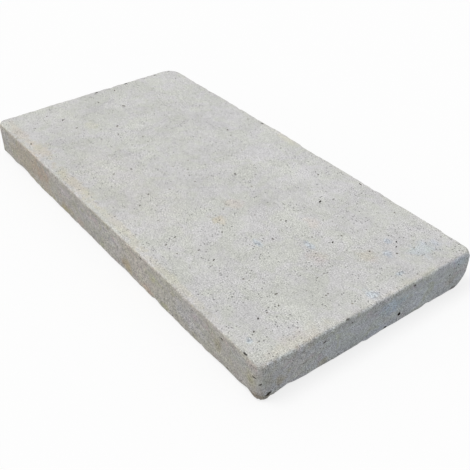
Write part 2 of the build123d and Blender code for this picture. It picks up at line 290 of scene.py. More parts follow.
pores = {
    # places across and up a face as shares of its half sizes, then length, width, depth and turn
    "top": [
        (-0.77, 0.12, 6.4, 3.8, 2.4, 20), (0.06, 0.23, 4.0, 2.4, 2.4, -20),
        (0.43, 0.52, 5.6, 2.4, 2.6, -60), (0.66, 0.23, 3.8, 2.0, 2.2, -50),
        (0.65, 0.34, 3.4, 2.2, 1.8, -20), (0.45, 0.63, 3.2, 2.2, 1.8, 80),
        (-0.27, 0.64, 4.2, 2.4, 1.8, -25), (-0.22, 0.60, 3.0, 1.9, 1.4, -60),
        (0.45, 0.13, 3.4, 2.3, 1.9, -50), (-0.61, -0.14, 5.0, 3.0, 2.0, -35),
        (-0.54, -0.21, 3.6, 2.1, 1.5, -20), (-0.82, -0.49, 4.4, 2.6, 2.0, -35),
        (-0.71, -0.46, 4.2, 2.8, 1.8, -70), (-0.90, -0.58, 3.6, 2.1, 1.5, -20),
        (-0.95, 0.22, 4.8, 2.0, 1.7, -25), (-0.88, -0.04, 5.0, 2.0, 1.7, -5),
        (-0.46, 0.41, 3.0, 1.8, 1.5, -30), (-0.64, 0.82, 3.2, 2.0, 1.5, -35),
        (-0.88, 0.87, 3.4, 1.9, 1.5, -30), (0.78, 0.37, 3.0, 2.0, 1.9, -70),
        (0.85, 0.51, 3.4, 2.3, 1.8, -20), (0.36, -0.35, 2.8, 2.0, 1.8, -20),
        (0.51, -0.10, 3.6, 2.4, 1.8, 5), (0.24, -0.16, 2.6, 1.7, 1.3, 5),
        (-0.05, -0.09, 3.0, 1.9, 1.6, -40), (-0.09, -0.05, 3.0, 2.1, 1.4, -20),
        (-0.24, -0.43, 3.4, 2.2, 1.6, 10), (-0.25, -0.59, 3.6, 2.0, 1.5, -65),
        (-0.03, -0.52, 3.0, 1.9, 1.5, -65), (0.02, -0.66, 3.0, 1.8, 1.6, -35),
        (0.28, -0.67, 3.4, 1.9, 1.5, -60), (0.30, -0.78, 3.2, 2.1, 1.7, -80),
        (0.40, -0.62, 3.2, 1.7, 1.4, -80), (0.48, -0.60, 4.2, 1.8, 1.6, -55),
        (0.63, -0.56, 2.6, 1.7, 1.4, -10), (0.82, -0.73, 3.4, 2.1, 2.2, -35),
        (0.81, -0.54, 3.0, 1.8, 1.6, -10), (0.76, -0.48, 4.2, 1.8, 1.5, 88),
        (0.86, -0.83, 3.0, 1.7, 1.5, -50), (-0.70, -0.93, 4.0, 2.1, 1.6, 0),
        (-0.983, 0.39, 6.5, 2.6, 2.9, 88), (-0.983, 0.05, 5.4, 2.3, 2.4, 88),
        (-0.978, 0.61, 3.8, 1.9, 1.7, 88), (-0.978, 0.74, 4.6, 2.1, 1.9, 86),
        (-0.976, 0.91, 4.2, 2.1, 2.0, 84), (0.436, 0.955, 6.0, 2.3, 2.0, -6),
        (-0.22, 0.972, 5.0, 2.3, 2.2, 2), (-0.64, 0.968, 3.6, 1.9, 1.7, -10),
        (0.80, 0.61, 3.4, 1.8, 2.4, -20), (0.82, 0.565, 2.8, 1.7, 2.2, -60),
    ],
    "near": [
        (0.97, 0.22, 6.0, 2.0, 2.6, 5), (0.80, 0.64, 4.8, 1.8, 2.0, 5), (0.30, 0.84, 5.4, 2.4, 2.0, -4),
        (0.63, 0.68, 3.2, 1.5, 1.4, 30), (0.52, -0.28, 2.8, 1.4, 1.3, 40),
        (0.67, -0.44, 2.8, 1.5, 1.3, 0), (0.83, -0.72, 4.0, 2.0, 2.0, 5), (0.50, -0.80, 3.2, 1.6, 1.4, 0),
        (-0.09, -0.80, 5.6, 2.6, 2.2, 5), (-0.02, -0.84, 4.2, 1.8, 1.7, 10),
        (-0.47, -0.76, 3.0, 1.6, 1.3, 0), (-0.63, 0.44, 3.6, 1.6, 1.6, -4),
        (-0.40, 0.10, 2.8, 1.4, 1.2, 3), (0.12, 0.16, 2.6, 1.4, 1.2, -2),
    ],
    "right": [
        (0.26, -0.47, 5.8, 4.4, 4.4, -45), (0.13, -0.80, 4.8, 3.6, 3.4, -10),
        (0.38, 0.78, 4.4, 2.6, 2.0, -15), (-0.46, 0.44, 4.0, 2.0, 1.8, 10),
        (-0.22, 0.68, 3.2, 1.6, 1.5, -30), (0.24, -0.70, 3.6, 1.6, 1.6, 84),
        (0.00, 0.52, 2.8, 1.4, 1.3, -4), (0.77, 0.16, 4.0, 2.4, 1.8, 15),
        (-0.32, -0.76, 5.2, 1.4, 1.4, -5), (-0.83, -0.78, 4.0, 2.0, 2.0, 15),
        (-0.64, -0.10, 2.8, 1.4, 1.3, 2), (0.58, -0.80, 3.6, 1.8, 1.6, -30),
        (-0.92, -0.70, 8.5, 3.4, 3.2, 14), (-0.84, -0.52, 3.0, 1.8, 1.8, 40),
    ],
    "far": [
        (-0.82, -0.30, 3.8, 1.8, 1.6, -3), (-0.72, 0.20, 4.8, 2.0, 1.9, 3),
        (-0.41, -0.48, 4.0, 1.8, 1.6, 0), (-0.18, -0.35, 5.4, 2.3, 2.2, -2),
        (0.04, 0.22, 3.6, 1.8, 1.6, 4), (0.22, 0.45, 4.0, 1.8, 1.7, 0), (0.47, -0.20, 4.2, 1.9, 1.7, -4),
        (0.68, -0.10, 4.6, 2.0, 1.9, 5), (0.87, 0.34, 3.6, 1.8, 1.6, 0),
    ],
    "left": [
        (-0.55, 0.30, 4.8, 2.0, 1.9, -4), (-0.24, 0.05, 3.4, 1.6, 1.4, 0),
        (0.08, -0.40, 4.4, 2.3, 2.0, 2), (0.36, 0.34, 3.6, 1.8, 1.6, -3), (0.60, 0.15, 3.8, 1.9, 1.7, 0),
    ],
    "under": [
        (-0.64, 0.35, 5.8, 3.4, 2.4, 20), (-0.80, -0.42, 4.0, 2.5, 1.8, -15),
        (-0.22, -0.16, 4.4, 2.7, 1.9, 50), (0.08, 0.62, 3.8, 2.2, 1.7, 5),
        (0.35, -0.48, 6.4, 3.6, 2.6, -35), (0.51, 0.14, 3.6, 2.2, 1.7, 70),
        (0.72, 0.55, 4.4, 2.7, 2.0, 60), (0.86, -0.64, 4.2, 2.5, 1.8, 0),
    ],
    "arris": [               # arris, share along it, length, width, painted shade inside
        ("top near", 0.92, 6.6, 3.0, 0.9), ("top right", -0.26, 6.0, 2.6, 0.6),
        ("top far", 0.075, 5.6, 3.6, 0.5), ("top far", -0.21, 5.0, 3.0, 0.4),
        ("top far", 0.45, 8.0, 3.2, 0.5), ("top far", 0.69, 5.0, 3.2, 0.4),
        ("top far", 0.84, 4.6, 3.2, 0.4), ("top left", 0.06, 7.0, 3.4, 0.5),
        ("top left", 0.38, 7.0, 4.0, 0.7), ("top left", 0.74, 6.0, 3.2, 0.4),
        ("bottom right", -0.91, 9.0, 4.6, 1.0),
    ],
    "upright": [("right", "near", 24, 4.2, 1.8, 35, 0.8)],    # corner, height, length, width, turn, painted shade inside
    "arrisSink": 0.35,       # share of its width that an arris pore sits in
    "uprightSink": 0.3,      # depth of the middle of a pore on an upright corner
    "perSquareMetre": 4600.0, "apart": 3.2, "smallest": 0.75, "largest": 2.9, "seed": 7,
    "flatness": 0.6, "slimmest": 0.5, "rarity": 2.6, "lean": 0.25,
    "bedFlatness": 4, "clusterScale": 22, "clusterRange": (0.38, 0.68),    # where the strewn pores gather
    "smallRipple": (0.7, 700), "largeRipple": (1.9, 330),    # how far noise pushes the walls, and its scale
    "slimSeed": 3, "turnSeed": 5, "darkSeed": 11,
    "palestPoreShade": 0.06, "darkestPoreShade": 0.42,    # painted shade inside the strewn pores, 0 to 1
    "darkest": 4.2,                        # depth squared over width at which a pore's painted shade turns black
}


def porePlaces():
    # centre, turn as a matrix, full size and painted shade inside every chosen pore
    across = {"top": (1, 0, 0), "under": (1, 0, 0), "near": (1, 0, 0), "far": (-1, 0, 0),
              "right": (0, 1, 0), "left": (0, -1, 0)}
    outward = {"top": (0, 0, 1), "under": (0, 0, -1), "near": (0, -1, 0), "far": (0, 1, 0),
               "right": (1, 0, 0), "left": (-1, 0, 0)}
    for face in across:
        right, out = Vector(across[face]), Vector(outward[face])
        up = out.cross(right)
        halfAcross = halfWide if face in ("right", "left") else halfLong
        halfUp = halfWide if face in ("top", "under") else high / 2
        middle = Vector((out.x * halfLong, out.y * halfWide, high / 2 + out.z * high / 2))
        for u, v, long, short, depth, tilt in pores[face]:
            place = middle + right * u * halfAcross + up * v * halfUp
            turn = Matrix((right, up, out)).transposed() @ Matrix.Rotation(math.radians(tilt), 3, "Z")
            # painted shade inside the pore: the deeper and narrower, the darker
            paintedShade = depth * depth / short / pores["darkest"]
            yield place, turn, Vector((long, short, 2 * depth)), paintedShade
    for name, share, long, short, paintedShade in pores["arris"]:
        middle, along, out, up, half = arrisFrame(name)
        diagonal = (out + up).normalized()
        place = middle + along * share * half - diagonal * short * pores["arrisSink"]
        turn = Matrix((along, diagonal.cross(along), diagonal)).transposed()
        yield place, turn, Vector((long, short, short)), paintedShade
    for end, side, height, long, short, tilt, paintedShade in pores["upright"]:
        ways = Vector((1 if end == "right" else -1, 1 if side == "far" else -1, 0))
        radius = stone["corners"][(end, side)]
        middle = Vector((ways.x * (halfLong - radius), ways.y * (halfWide - radius), height))
        place = middle + ways.normalized() * (radius - pores["uprightSink"])
        turn = ways.to_track_quat("Z", "Y").to_matrix() @ Matrix.Rotation(math.radians(tilt), 3, "Z")
        yield place, turn, Vector((long, short, short * 2)), paintedShade


def makePoreSeeds():
    places, turns, sizes, paintedShades = zip(*porePlaces())
    angles = [angle for turn in turns for angle in turn.to_euler()]
    lengths = [length * mm for size in sizes for length in size]
    mesh = bpy.data.meshes.new("chosenPores")
    mesh.from_pydata([place * mm for place in places], [], [])
    addPointData(mesh, "poreTurn", angles, "FLOAT_VECTOR", "vector")
    addPointData(mesh, "poreSize", lengths, "FLOAT_VECTOR", "vector")
    addPointData(mesh, "poreDark", [min(paintedShade, 1) for paintedShade in paintedShades])
    return addObject("chosenPores", mesh)


def addNode(tree, kind, values=None, **settings):
    # a node with its settings, then the values of inputs, by name or by number
    node = tree.nodes.new(kind)
    for key, value in settings.items():
        setattr(node, key, value)
    for socket, value in (values or {}).items():
        node.inputs[socket].default_value = value
    return node


def wire(tree, *pairs):
    for source, target in pairs:
        tree.links.new(source, target)


def makeGroup(name, inputs, outputs, kind="ShaderNodeTree"):
    tree = bpy.data.node_groups.new(name, kind)
    for way, sockets in (("INPUT", inputs), ("OUTPUT", outputs)):
        for label, socketKind in sockets.items():
            tree.interface.new_socket(label, in_out=way, socket_type="NodeSocket" + socketKind)
    return tree, addNode(tree, "NodeGroupInput").outputs, addNode(tree, "NodeGroupOutput").inputs


def namedValue(tree, name, kind="FLOAT"):
    return addNode(tree, "GeometryNodeInputNamedAttribute", {"Name": name}, data_type=kind).outputs[0]


def strewnBalls(tree, given, where):
    # strewn pores, thicker in some beds than in others
    low, most = pores["clusterRange"]
    bedded = addNode(tree, "ShaderNodeVectorMath", {1: (1, 1, pores["bedFlatness"])}, operation="MULTIPLY")
    clusters = addNode(tree, "ShaderNodeTexNoise", {"Scale": pores["clusterScale"], "Detail": 2})
    thick = addNode(tree, "ShaderNodeMapRange", {"From Min": low, "From Max": most})
    strewn = addNode(tree, "GeometryNodeDistributePointsOnFaces", distribute_method="POISSON")
    wire(tree, (where, bedded.inputs[0]), (bedded.outputs[0], clusters.inputs["Vector"]),
         (clusters.outputs["Fac"], thick.inputs["Value"]), (given["Stone"], strewn.inputs["Mesh"]),
         (thick.outputs["Result"], strewn.inputs["Density Factor"]),
         (given["Pores per Square Metre"], strewn.inputs["Density Max"]),
         (given["Apart"], strewn.inputs["Distance Min"]), (given["Seed"], strewn.inputs["Seed"]))

    # many small ones and few large ones, flat like the beds they lie in
    chance = addNode(tree, "FunctionNodeRandomValue", data_type="FLOAT")
    rare = addNode(tree, "ShaderNodeMath", {1: pores["rarity"]}, operation="POWER")
    width = addNode(tree, "ShaderNodeMapRange")
    slender = addNode(tree, "FunctionNodeRandomValue",
                      {2: pores["slimmest"], 3: 1.0, "Seed": pores["slimSeed"]}, data_type="FLOAT")
    shape = addNode(tree, "ShaderNodeCombineXYZ", {"X": 1})
    size = addNode(tree, "ShaderNodeVectorMath", operation="SCALE")
    lean = pores["lean"]
    turn = addNode(tree, "FunctionNodeRandomValue",
                   {0: (-lean, -lean, 0), 1: (lean, lean, math.tau), "Seed": pores["turnSeed"]},
                   data_type="FLOAT_VECTOR")
    ball = addNode(tree, "GeometryNodeMeshIcoSphere", {"Radius": 0.5, "Subdivisions": 2})
    balls = addNode(tree, "GeometryNodeInstanceOnPoints")
    wire(tree, (chance.outputs[1], rare.inputs[0]), (rare.outputs[0], width.inputs["Value"]),
         (given["Smallest"], width.inputs["To Min"]), (given["Largest"], width.inputs["To Max"]),
         (slender.outputs[1], shape.inputs["Y"]), (given["Flatness"], shape.inputs["Z"]),
         (shape.outputs[0], size.inputs[0]), (width.outputs["Result"], size.inputs["Scale"]),
         (strewn.outputs["Points"], balls.inputs["Points"]),
         (ball.outputs["Mesh"], balls.inputs["Instance"]),
         (turn.outputs[0], balls.inputs["Rotation"]), (size.outputs[0], balls.inputs["Scale"]))
    # a random amount of painted shade inside each strewn pore
    randomPoreShade = addNode(tree, "FunctionNodeRandomValue", {"Seed": pores["darkSeed"]}, data_type="FLOAT")
    shaded = addNode(tree, "GeometryNodeStoreNamedAttribute", {"Name": "poreDark"}, data_type="FLOAT",
                     domain="INSTANCE")
    wire(tree, (given["Palest Pore Shade"], randomPoreShade.inputs[2]), (given["Darkest Pore Shade"], randomPoreShade.inputs[3]),
         (balls.outputs[0], shaded.inputs["Geometry"]), (randomPoreShade.outputs[1], shaded.inputs["Value"]))
    return shaded.outputs[0]


def chosenBalls(tree, given):
    # chosen pores: balls of diameter 1, each with its own turn and size
    chosen = addNode(tree, "GeometryNodeObjectInfo")
    ball = addNode(tree, "GeometryNodeMeshIcoSphere", {"Radius": 0.5, "Subdivisions": 3})
    balls = addNode(tree, "GeometryNodeInstanceOnPoints")
    wire(tree, (given["Chosen Pores"], chosen.inputs["Object"]),
         (chosen.outputs["Geometry"], balls.inputs["Points"]),
         (ball.outputs["Mesh"], balls.inputs["Instance"]),
         (namedValue(tree, "poreTurn", "FLOAT_VECTOR"), balls.inputs["Rotation"]),
         (namedValue(tree, "poreSize", "FLOAT_VECTOR"), balls.inputs["Scale"]))
    return balls.outputs[0]


def unevenWalls(tree, balls, where, push, ripple):
    # no pore is a clean oval: noise pushes its walls about
    real = addNode(tree, "GeometryNodeRealizeInstances")
    uneven = addNode(tree, "ShaderNodeTexNoise", {"Scale": ripple, "Detail": 1})
    centred = addNode(tree, "ShaderNodeVectorMath", {1: (0.5, 0.5, 0.5)}, operation="SUBTRACT")
    pushed = addNode(tree, "ShaderNodeVectorMath", {"Scale": push * mm}, operation="SCALE")
    moved = addNode(tree, "GeometryNodeSetPosition")
    wire(tree, (balls, real.inputs[0]), (where, uneven.inputs["Vector"]),
         (uneven.outputs["Color"], centred.inputs[0]), (centred.outputs[0], pushed.inputs[0]),
         (real.outputs[0], moved.inputs["Geometry"]), (pushed.outputs[0], moved.inputs["Offset"]))
    return moved.outputs[0]


def poreTree():
    tree, given, result = makeGroup("openPores", {
        "Stone": "Geometry", "Chosen Pores": "Object", "Pores per Square Metre": "Float", "Apart": "Float",
        "Smallest": "Float", "Largest": "Float", "Flatness": "Float", "Seed": "Int", "Palest Pore Shade": "Float",
        "Darkest Pore Shade": "Float", "Stone Finish": "Material", "Pore Finish": "Material",
    }, {"Stone": "Geometry"}, "GeometryNodeTree")
    where = addNode(tree, "GeometryNodeInputPosition").outputs[0]
    strewn = unevenWalls(tree, strewnBalls(tree, given, where), where, *pores["smallRipple"])
    chosen = unevenWalls(tree, chosenBalls(tree, given), where, *pores["largeRipple"])
    waste = addNode(tree, "GeometryNodeJoinGeometry")
    # the painted shade of each pore goes onto the walls it cuts
    marked = addNode(tree, "GeometryNodeStoreNamedAttribute", {"Name": "holeDark"}, data_type="FLOAT",
                     domain="FACE")
    cut = addNode(tree, "GeometryNodeMeshBoolean", operation="DIFFERENCE", solver="MANIFOLD")
    wire(tree, (strewn, waste.inputs[0]), (chosen, waste.inputs[0]),
         (waste.outputs[0], marked.inputs["Geometry"]),
         (namedValue(tree, "poreDark"), marked.inputs["Value"]), (given["Stone"], cut.inputs["Mesh 1"]),
         (marked.outputs[0], cut.inputs["Mesh 2"]))

    # plain mesh with its two finishes
    whole = addNode(tree, "GeometryNodeRealizeInstances")
    stoneFinish = addNode(tree, "GeometryNodeSetMaterial")
    poreFinish = addNode(tree, "GeometryNodeSetMaterial")
    wire(tree, (cut.outputs["Mesh"], whole.inputs[0]), (whole.outputs[0], stoneFinish.inputs["Geometry"]),
         (given["Stone Finish"], stoneFinish.inputs["Material"]),
         (stoneFinish.outputs[0], poreFinish.inputs["Geometry"]),
         (namedValue(tree, "holeDark"), poreFinish.inputs["Selection"]),
         (given["Pore Finish"], poreFinish.inputs["Material"]), (poreFinish.outputs[0], result["Stone"]))
    return tree


def cutPores(slab, stoneFinish, poreFinish):
    seeds = makePoreSeeds()
    tree = poreTree()
    modifier = slab.modifiers.new("openPores", "NODES")
    modifier.node_group = tree
    values = {
        "Chosen Pores": seeds, "Seed": pores["seed"], "Pores per Square Metre": pores["perSquareMetre"],
        "Apart": pores["apart"] * mm, "Smallest": pores["smallest"] * mm, "Largest": pores["largest"] * mm,
        "Flatness": pores["flatness"], "Palest Pore Shade": pores["palestPoreShade"], "Darkest Pore Shade": pores["darkestPoreShade"],
        "Stone Finish": stoneFinish, "Pore Finish": poreFinish,
    }
    for socket in tree.interface.items_tree:
        if socket.item_type == "SOCKET" and socket.in_out == "INPUT" and socket.name in values:
            modifier[socket.identifier] = values[socket.name]
    bpy.context.view_layer.update()
    shaped = slab.evaluated_get(bpy.context.evaluated_depsgraph_get())
    cut = bpy.data.meshes.new_from_object(shaped)
    slab.modifiers.remove(modifier)
    slab.data = cut
    slab.data.name = "travertineSlab"
    bpy.data.objects.remove(seeds)


def linear(share):
    return share / 12.92 if share <= 0.04045 else ((share + 0.055) / 1.055) ** 2.4


def colour(*seen):
    # a colour as it is seen, red, green and blue from 0 to 255, made linear
    return (*[linear(value / 255) for value in seen], 1)


# The stone's colour: clouds, beds, grain and specks everywhere, the specks painted dark with shade, and
# listed stains and patches of painted shade

tone = {
    "stone": (199, 199, 195), "green": (200, 201, 195), "mauve": (202, 201, 201), "worn": (203, 201, 196),
    # painted light: the near side warmer and the right end cooler and brighter, as light falls on them
    "nearSideLightCast": (201, 198, 189), "rightEndLightCast": (200, 205, 207),
    "sideOlive": (190, 190, 176), "sideRose": (204, 197, 196),
    # a pore's dusty lining, then the near black of the painted shade inside deep pores
    "hole": (184, 180, 173), "holeShadow": (34, 31, 27),
    "crystalLight": (206, 216, 224), "crystalDark": (138, 146, 160),

    # noise: scale per metre, detail, roughness and distortion, plain and then stretched along the beds
    "layers": {"cloud": (16, 3), "patch": (52, 3), "mottle": (210, 3), "grain": (600, 3, 0.7),
               "fine": (1000, 2, 0.7), "blotch": (44, 3, 0.55, 0.8), "ragged": (95, 4, 0.65),
               "busy": (15, 3)},
    "beddedLayers": {"bed": (20, 4, 0.6, 0.5), "pitted": (42, 3)}, "bedFlat": 6.5,
    "tint": (38, 3, 0.6, 0.6), "tintFlat": 3.0, "tintRange": (0.36, 0.64),

    # how far each layer moves the brightness, on the whole stone and more on its sides
    "broad": {"cloud": 0.20, "patch": 0.14, "mottle": 0.36, "bed": 0.28},
    "small": {"grain": 1.32, "fine": 1.35}, "busyRange": (0.36, 0.64, 0.8, 1.45),
    "onSides": {"blotch": 0.2, "patch": 0.2, "mottle": 0.35, "grain": 0.8, "fine": 0.7}, "nearCalmer": 0.3,

    # start and full strength of a side's mask, for its tints and, on the near side and right end, its
    # painted light cast, in millimetres from its face
    "sideInsets": {"near": (1.7, 0.2), "right": (3.0, 0.4), "far": (2.7, 0.3), "left": (3.0, 0.4)},
    "oliveRange": (0.56, 0.70), "roseRange": (0.44, 0.30), "wornShare": 0.5,

    # dark dots stand in for pits too small to cut: their darkness is painted shade
    "specks": {"Cells": 370, "Smallest": 0.12, "Largest": 0.40}, "speckDark": 0.64,
    "sparks": {"Cells": 430, "Smallest": 0.10, "Largest": 0.34}, "sparkLight": 0.25,
    "pepper": {"Cells": 400, "Smallest": 0.14, "Largest": 0.42}, "pepperDark": 0.8,
    "pittedRange": (0.40, 0.60, 0.25, 1.0), "dotRarity": 3, "dotEdge": (1.15, 0.6),
    "spotEdge": (1.15, 0.35), "spotRagged": {"ragged": 2.2, "grain": 0.8},
    "facetCells": 480, "facetRange": (0.25, 0.6), "crystalShare": 0.65, "crystalGloss": 0.3,
    "roughness": 0.8, "dullness": {"mottle": 0.3, "grain": 0.2},
    "relief": 0.2, "bumps": {"mottle": 0.9, "grain": 1.0, "fine": 0.5}, "sideRelief": 3.0, "pitDepth": 1.6,
}

# centre and reach, the colour that the plain stone turns, and how strongly: mostly stains, a few rows of
# painted shade
stainsAndShade = [
    ((20, 122, 50), (330, 60, 12), (201, 201, 198), 0.8),
    ((-250, -75, 50), (75, 50, 12), (196, 196, 191), 0.8),
    ((-40, -95, 50), (150, 55, 12), (199, 198, 193), 0.8),
    ((89, -42, 50), (13, 9, 9), (202, 196, 179), 0.9),
    ((-211, -48, 50), (13, 10, 9), (203, 202, 188), 0.6),
    ((-13, 148, 48), (26, 9, 12), (203, 202, 187), 0.7),
    ((159, 43, 50), (14, 10, 9), (203, 197, 187), 0.6), ((211, 3, 50), (17, 12, 9), (197, 191, 184), 0.7),
    ((243, 47, 50), (15, 12, 9), (196, 190, 181), 0.7), ((71, -8, 50), (15, 11, 9), (206, 198, 190), 0.6),
    ((-255, -141, 50), (48, 9, 12), (202, 196, 187), 0.8),
    ((-190, -138, 50), (30, 13, 10), (200, 195, 183), 0.95),
    ((-85, -142, 50), (62, 9, 10), (200, 196, 182), 0.95),
    ((30, -142, 50), (70, 7, 10), (202, 199, 186), 0.7),
    ((145, -146, 50), (80, 6, 10), (200, 198, 185), 0.7),
    ((295, -100, 50), (12, 42, 9), (197, 193, 184), 0.7),
    ((303, 55, 50), (7, 60, 9), (198, 197, 187), 0.6),
    ((-205, -155, 26), (95, 7, 44), (197, 190, 177), 0.8),
    ((80, -155, 30), (60, 7, 40), (207, 204, 198), 0.8),
    ((55, -155, 14), (15, 7, 10), (184, 176, 156), 0.9),
    ((235, -155, 28), (11, 7, 15), (186, 184, 166), 0.9),
    ((270, -155, 36), (15, 7, 10), (199, 203, 203), 0.8),
    ((291, -155, 24), (9, 7, 12), (190, 188, 170), 0.8),
    ((215, -155, 22), (10, 7, 11), (204, 206, 203), 0.7),
    ((-100, -155, 12), (13, 7, 9), (207, 204, 192), 0.8),
    ((-84, -155, 13), (10, 7, 8), (200, 192, 176), 0.8),
    ((170, -155, 9), (14, 7, 8), (194, 192, 187), 0.7),
    # partly brown crumbled stone, partly painted shade under the knocked near right corner at its foot
    ((300, -146, 2), (14, 16, 10), (150, 142, 130), 0.9),
    ((308, -126, 18), (7, 10, 10), (190, 184, 168), 0.9),
    ((307, -146, 32), (8, 17, 26), (188, 187, 180), 0.9),
    ((308, -70, 9), (7, 10, 7), (184, 180, 166), 0.9), ((308, 45, 10), (7, 10, 7), (192, 187, 178), 0.8),
    ((308, 20, 13), (7, 9, 7), (205, 200, 194), 0.7), ((308, 28, 32), (7, 26, 14), (190, 200, 207), 0.8),
    ((308, 122, 21), (7, 12, 10), (191, 186, 175), 0.9),
    ((308, 132, 42), (7, 16, 9), (194, 202, 206), 0.7),
    ((-30, -155, 30), (40, 7, 22), (202, 202, 204), 0.9),
    ((25, -155, 32), (26, 7, 16), (202, 203, 205), 0.9),
    ((185, -155, 28), (34, 7, 20), (201, 203, 205), 0.9),
    ((-104, -155, 34), (30, 7, 12), (203, 200, 203), 0.9),
    ((-170, -155, 28), (27, 7, 17), (199, 191, 183), 0.8),
    ((-98, -155, 7), (22, 7, 8), (192, 188, 172), 0.9),
    ((-280, -155, 30), (18, 7, 24), (199, 201, 202), 0.8),
    ((115, -155, 35), (18, 7, 9), (195, 197, 182), 0.8),
    ((138, -155, 8), (13, 7, 7), (190, 192, 174), 0.8),
    ((100, -155, 7), (20, 7, 6), (205, 196, 187), 0.8), ((-5, -155, 8), (6, 7, 6), (188, 192, 172), 0.8),
    ((-58, -155, 9), (13, 7, 8), (202, 193, 183), 0.8),
    # painted shade: a darker band on the right end just under its top arris
    ((308, -35, 45), (7, 145, 9), (184, 183, 176), 0.8),
    ((308, 70, 22), (7, 36, 15), (208, 209, 210), 0.8), ((308, 10, 8), (7, 34, 9), (204, 207, 208), 0.8),
    ((308, -112, 26), (7, 56, 36), (198, 193, 185), 0.8),
    # the second row is painted shade: a dark spot at the foot of the right end, near its far corner
    ((271, 108, 50), (14, 26, 9), (196, 203, 205), 0.7), ((301, 128, 5), (7, 6, 5), (128, 120, 122), 0.9),
    # painted shade: a dark spot at the foot of the near side, by its left corner
    ((-297, -149, 6), (7, 7, 5), (126, 120, 112), 0.9),
]

# centre and reach of the clusters of fine pits painted dark with shade, then of bluish crystals
peppered = [
    ((245, 89, 50), (9, 8, 6)), ((-56, -40, 50), (12, 6, 6)), ((117, -105, 50), (7, 10, 6)),
    ((-6, -77, 50), (9, 8, 6)), ((156, -36, 50), (11, 7, 6)), ((188, 6, 50), (9, 7, 6)),
    ((-73, -66, 50), (8, 8, 6)), ((86, -106, 50), (8, 10, 6)), ((-167, 106, 50), (15, 12, 6)),
    ((-143, 88, 50), (12, 8, 6)), ((-262, -7, 50), (13, 6, 6)), ((-225, 14, 50), (13, 7, 6)),
    ((40, 140, 50), (14, 9, 6)), ((150, 125, 50), (12, 9, 6)), ((-185, -30, 50), (12, 9, 6)),
    ((300, -146, 8), (16, 18, 14)), ((287, 56, 50), (5, 14, 6)), ((305, 35, 14), (7, 14, 9)),
    ((290, -152, 40), (14, 7, 12)),
]

crystals = [
    ((286, 54, 50), (4, 7, 6)), ((189, 10, 50), (11, 5, 6)), ((292, 6, 50), (11, 9, 6)),
    ((254, 69, 50), (8, 6, 6)), ((238, 86, 50), (7, 5, 6)), ((151, -34, 50), (9, 5, 6)),
    ((269, -138, 50), (6, 4, 6)),
]


def placeGroup(tree, group, **values):
    return addNode(tree, "ShaderNodeGroup", values, node_tree=group)


def noiseOf(tree, place, scale, detail=2.0, roughness=0.5, distortion=0.0):
    node = addNode(tree, "ShaderNodeTexNoise", {"Scale": scale, "Detail": detail, "Roughness": roughness,
                                                "Distortion": distortion})
    tree.links.new(place, node.inputs["Vector"])
    return node.outputs["Fac"]


def ranged(tree, value, low, high, start=0.0, end=1.0):
    limits = {"From Min": low, "From Max": high, "To Min": start, "To Max": end}
    node = addNode(tree, "ShaderNodeMapRange", limits, interpolation_type="SMOOTHSTEP")
    tree.links.new(value, node.inputs["Value"])
    return node.outputs["Result"]


def calculate(tree, operation, one, two=None, three=None):
    node = addNode(tree, "ShaderNodeMath", operation=operation)
    for socket, value in zip(node.inputs, (one, two, three)):
        if isinstance(value, (int, float)):
            socket.default_value = value
        elif value is not None:
            tree.links.new(value, socket)
    return node.outputs[0]


def mixColours(tree, factor, one, two, blend="MIX"):
    node = addNode(tree, "ShaderNodeMix", data_type="RGBA", blend_type=blend)
    for socket, value in zip((node.inputs[0], node.inputs[6], node.inputs[7]), (factor, one, two)):
        if isinstance(value, (int, float, tuple)):
            socket.default_value = value
        else:
            tree.links.new(value, socket)
    return node.outputs[2]


def flattened(tree, place, flatness):
    node = addNode(tree, "ShaderNodeMapping", {"Scale": (1, 1, flatness)})
    tree.links.new(place, node.inputs["Vector"])
    return node.outputs["Vector"]


def weighed(tree, base, layers, weights):
    # base plus each layer's swing about a half, times its weight
    total = base
    for name, weight in weights.items():
        swing = calculate(tree, "MULTIPLY_ADD", layers[name], weight, -weight / 2)
        total = calculate(tree, "ADD", total, swing)
    return total


def spotGroup():
    # a ragged spot about a centre: 1 inside, 0 outside
    inputs = {"Place": "Vector", "Centre": "Vector", "Reach": "Vector", "Ragged": "Float"}
    tree, given, result = makeGroup("raggedSpot", inputs, {"Mask": "Float"})
    away = addNode(tree, "ShaderNodeVectorMath", operation="SUBTRACT")
    scaled = addNode(tree, "ShaderNodeVectorMath", operation="DIVIDE")
    length = addNode(tree, "ShaderNodeVectorMath", operation="LENGTH")
    wire(tree, (given["Place"], away.inputs[0]), (given["Centre"], away.inputs[1]),
         (away.outputs[0], scaled.inputs[0]), (given["Reach"], scaled.inputs[1]),
         (scaled.outputs[0], length.inputs[0]))
    edge = calculate(tree, "ADD", length.outputs["Value"], given["Ragged"])
    wire(tree, (ranged(tree, edge, *tone["spotEdge"]), result["Mask"]))
    return tree


def speckGroup():
    # small round dots of uneven size, in cells: 1 in a dot, 0 between
    inputs = {"Place": "Vector", "Cells": "Float", "Smallest": "Float", "Largest": "Float"}
    tree, given, result = makeGroup("looseDots", inputs, {"Mask": "Float"})
    cell = addNode(tree, "ShaderNodeTexVoronoi")
    split = addNode(tree, "ShaderNodeSeparateColor")
    wire(tree, (given["Place"], cell.inputs["Vector"]), (given["Cells"], cell.inputs["Scale"]),
         (cell.outputs["Color"], split.inputs[0]))
    chance = calculate(tree, "POWER", split.outputs[0], tone["dotRarity"])
    size = addNode(tree, "ShaderNodeMapRange")
    wire(tree, (chance, size.inputs["Value"]), (given["Smallest"], size.inputs["To Min"]),
         (given["Largest"], size.inputs["To Max"]))
    share = calculate(tree, "DIVIDE", cell.outputs["Distance"], size.outputs["Result"])
    wire(tree, (ranged(tree, share, *tone["dotEdge"]), result["Mask"]))
    return tree


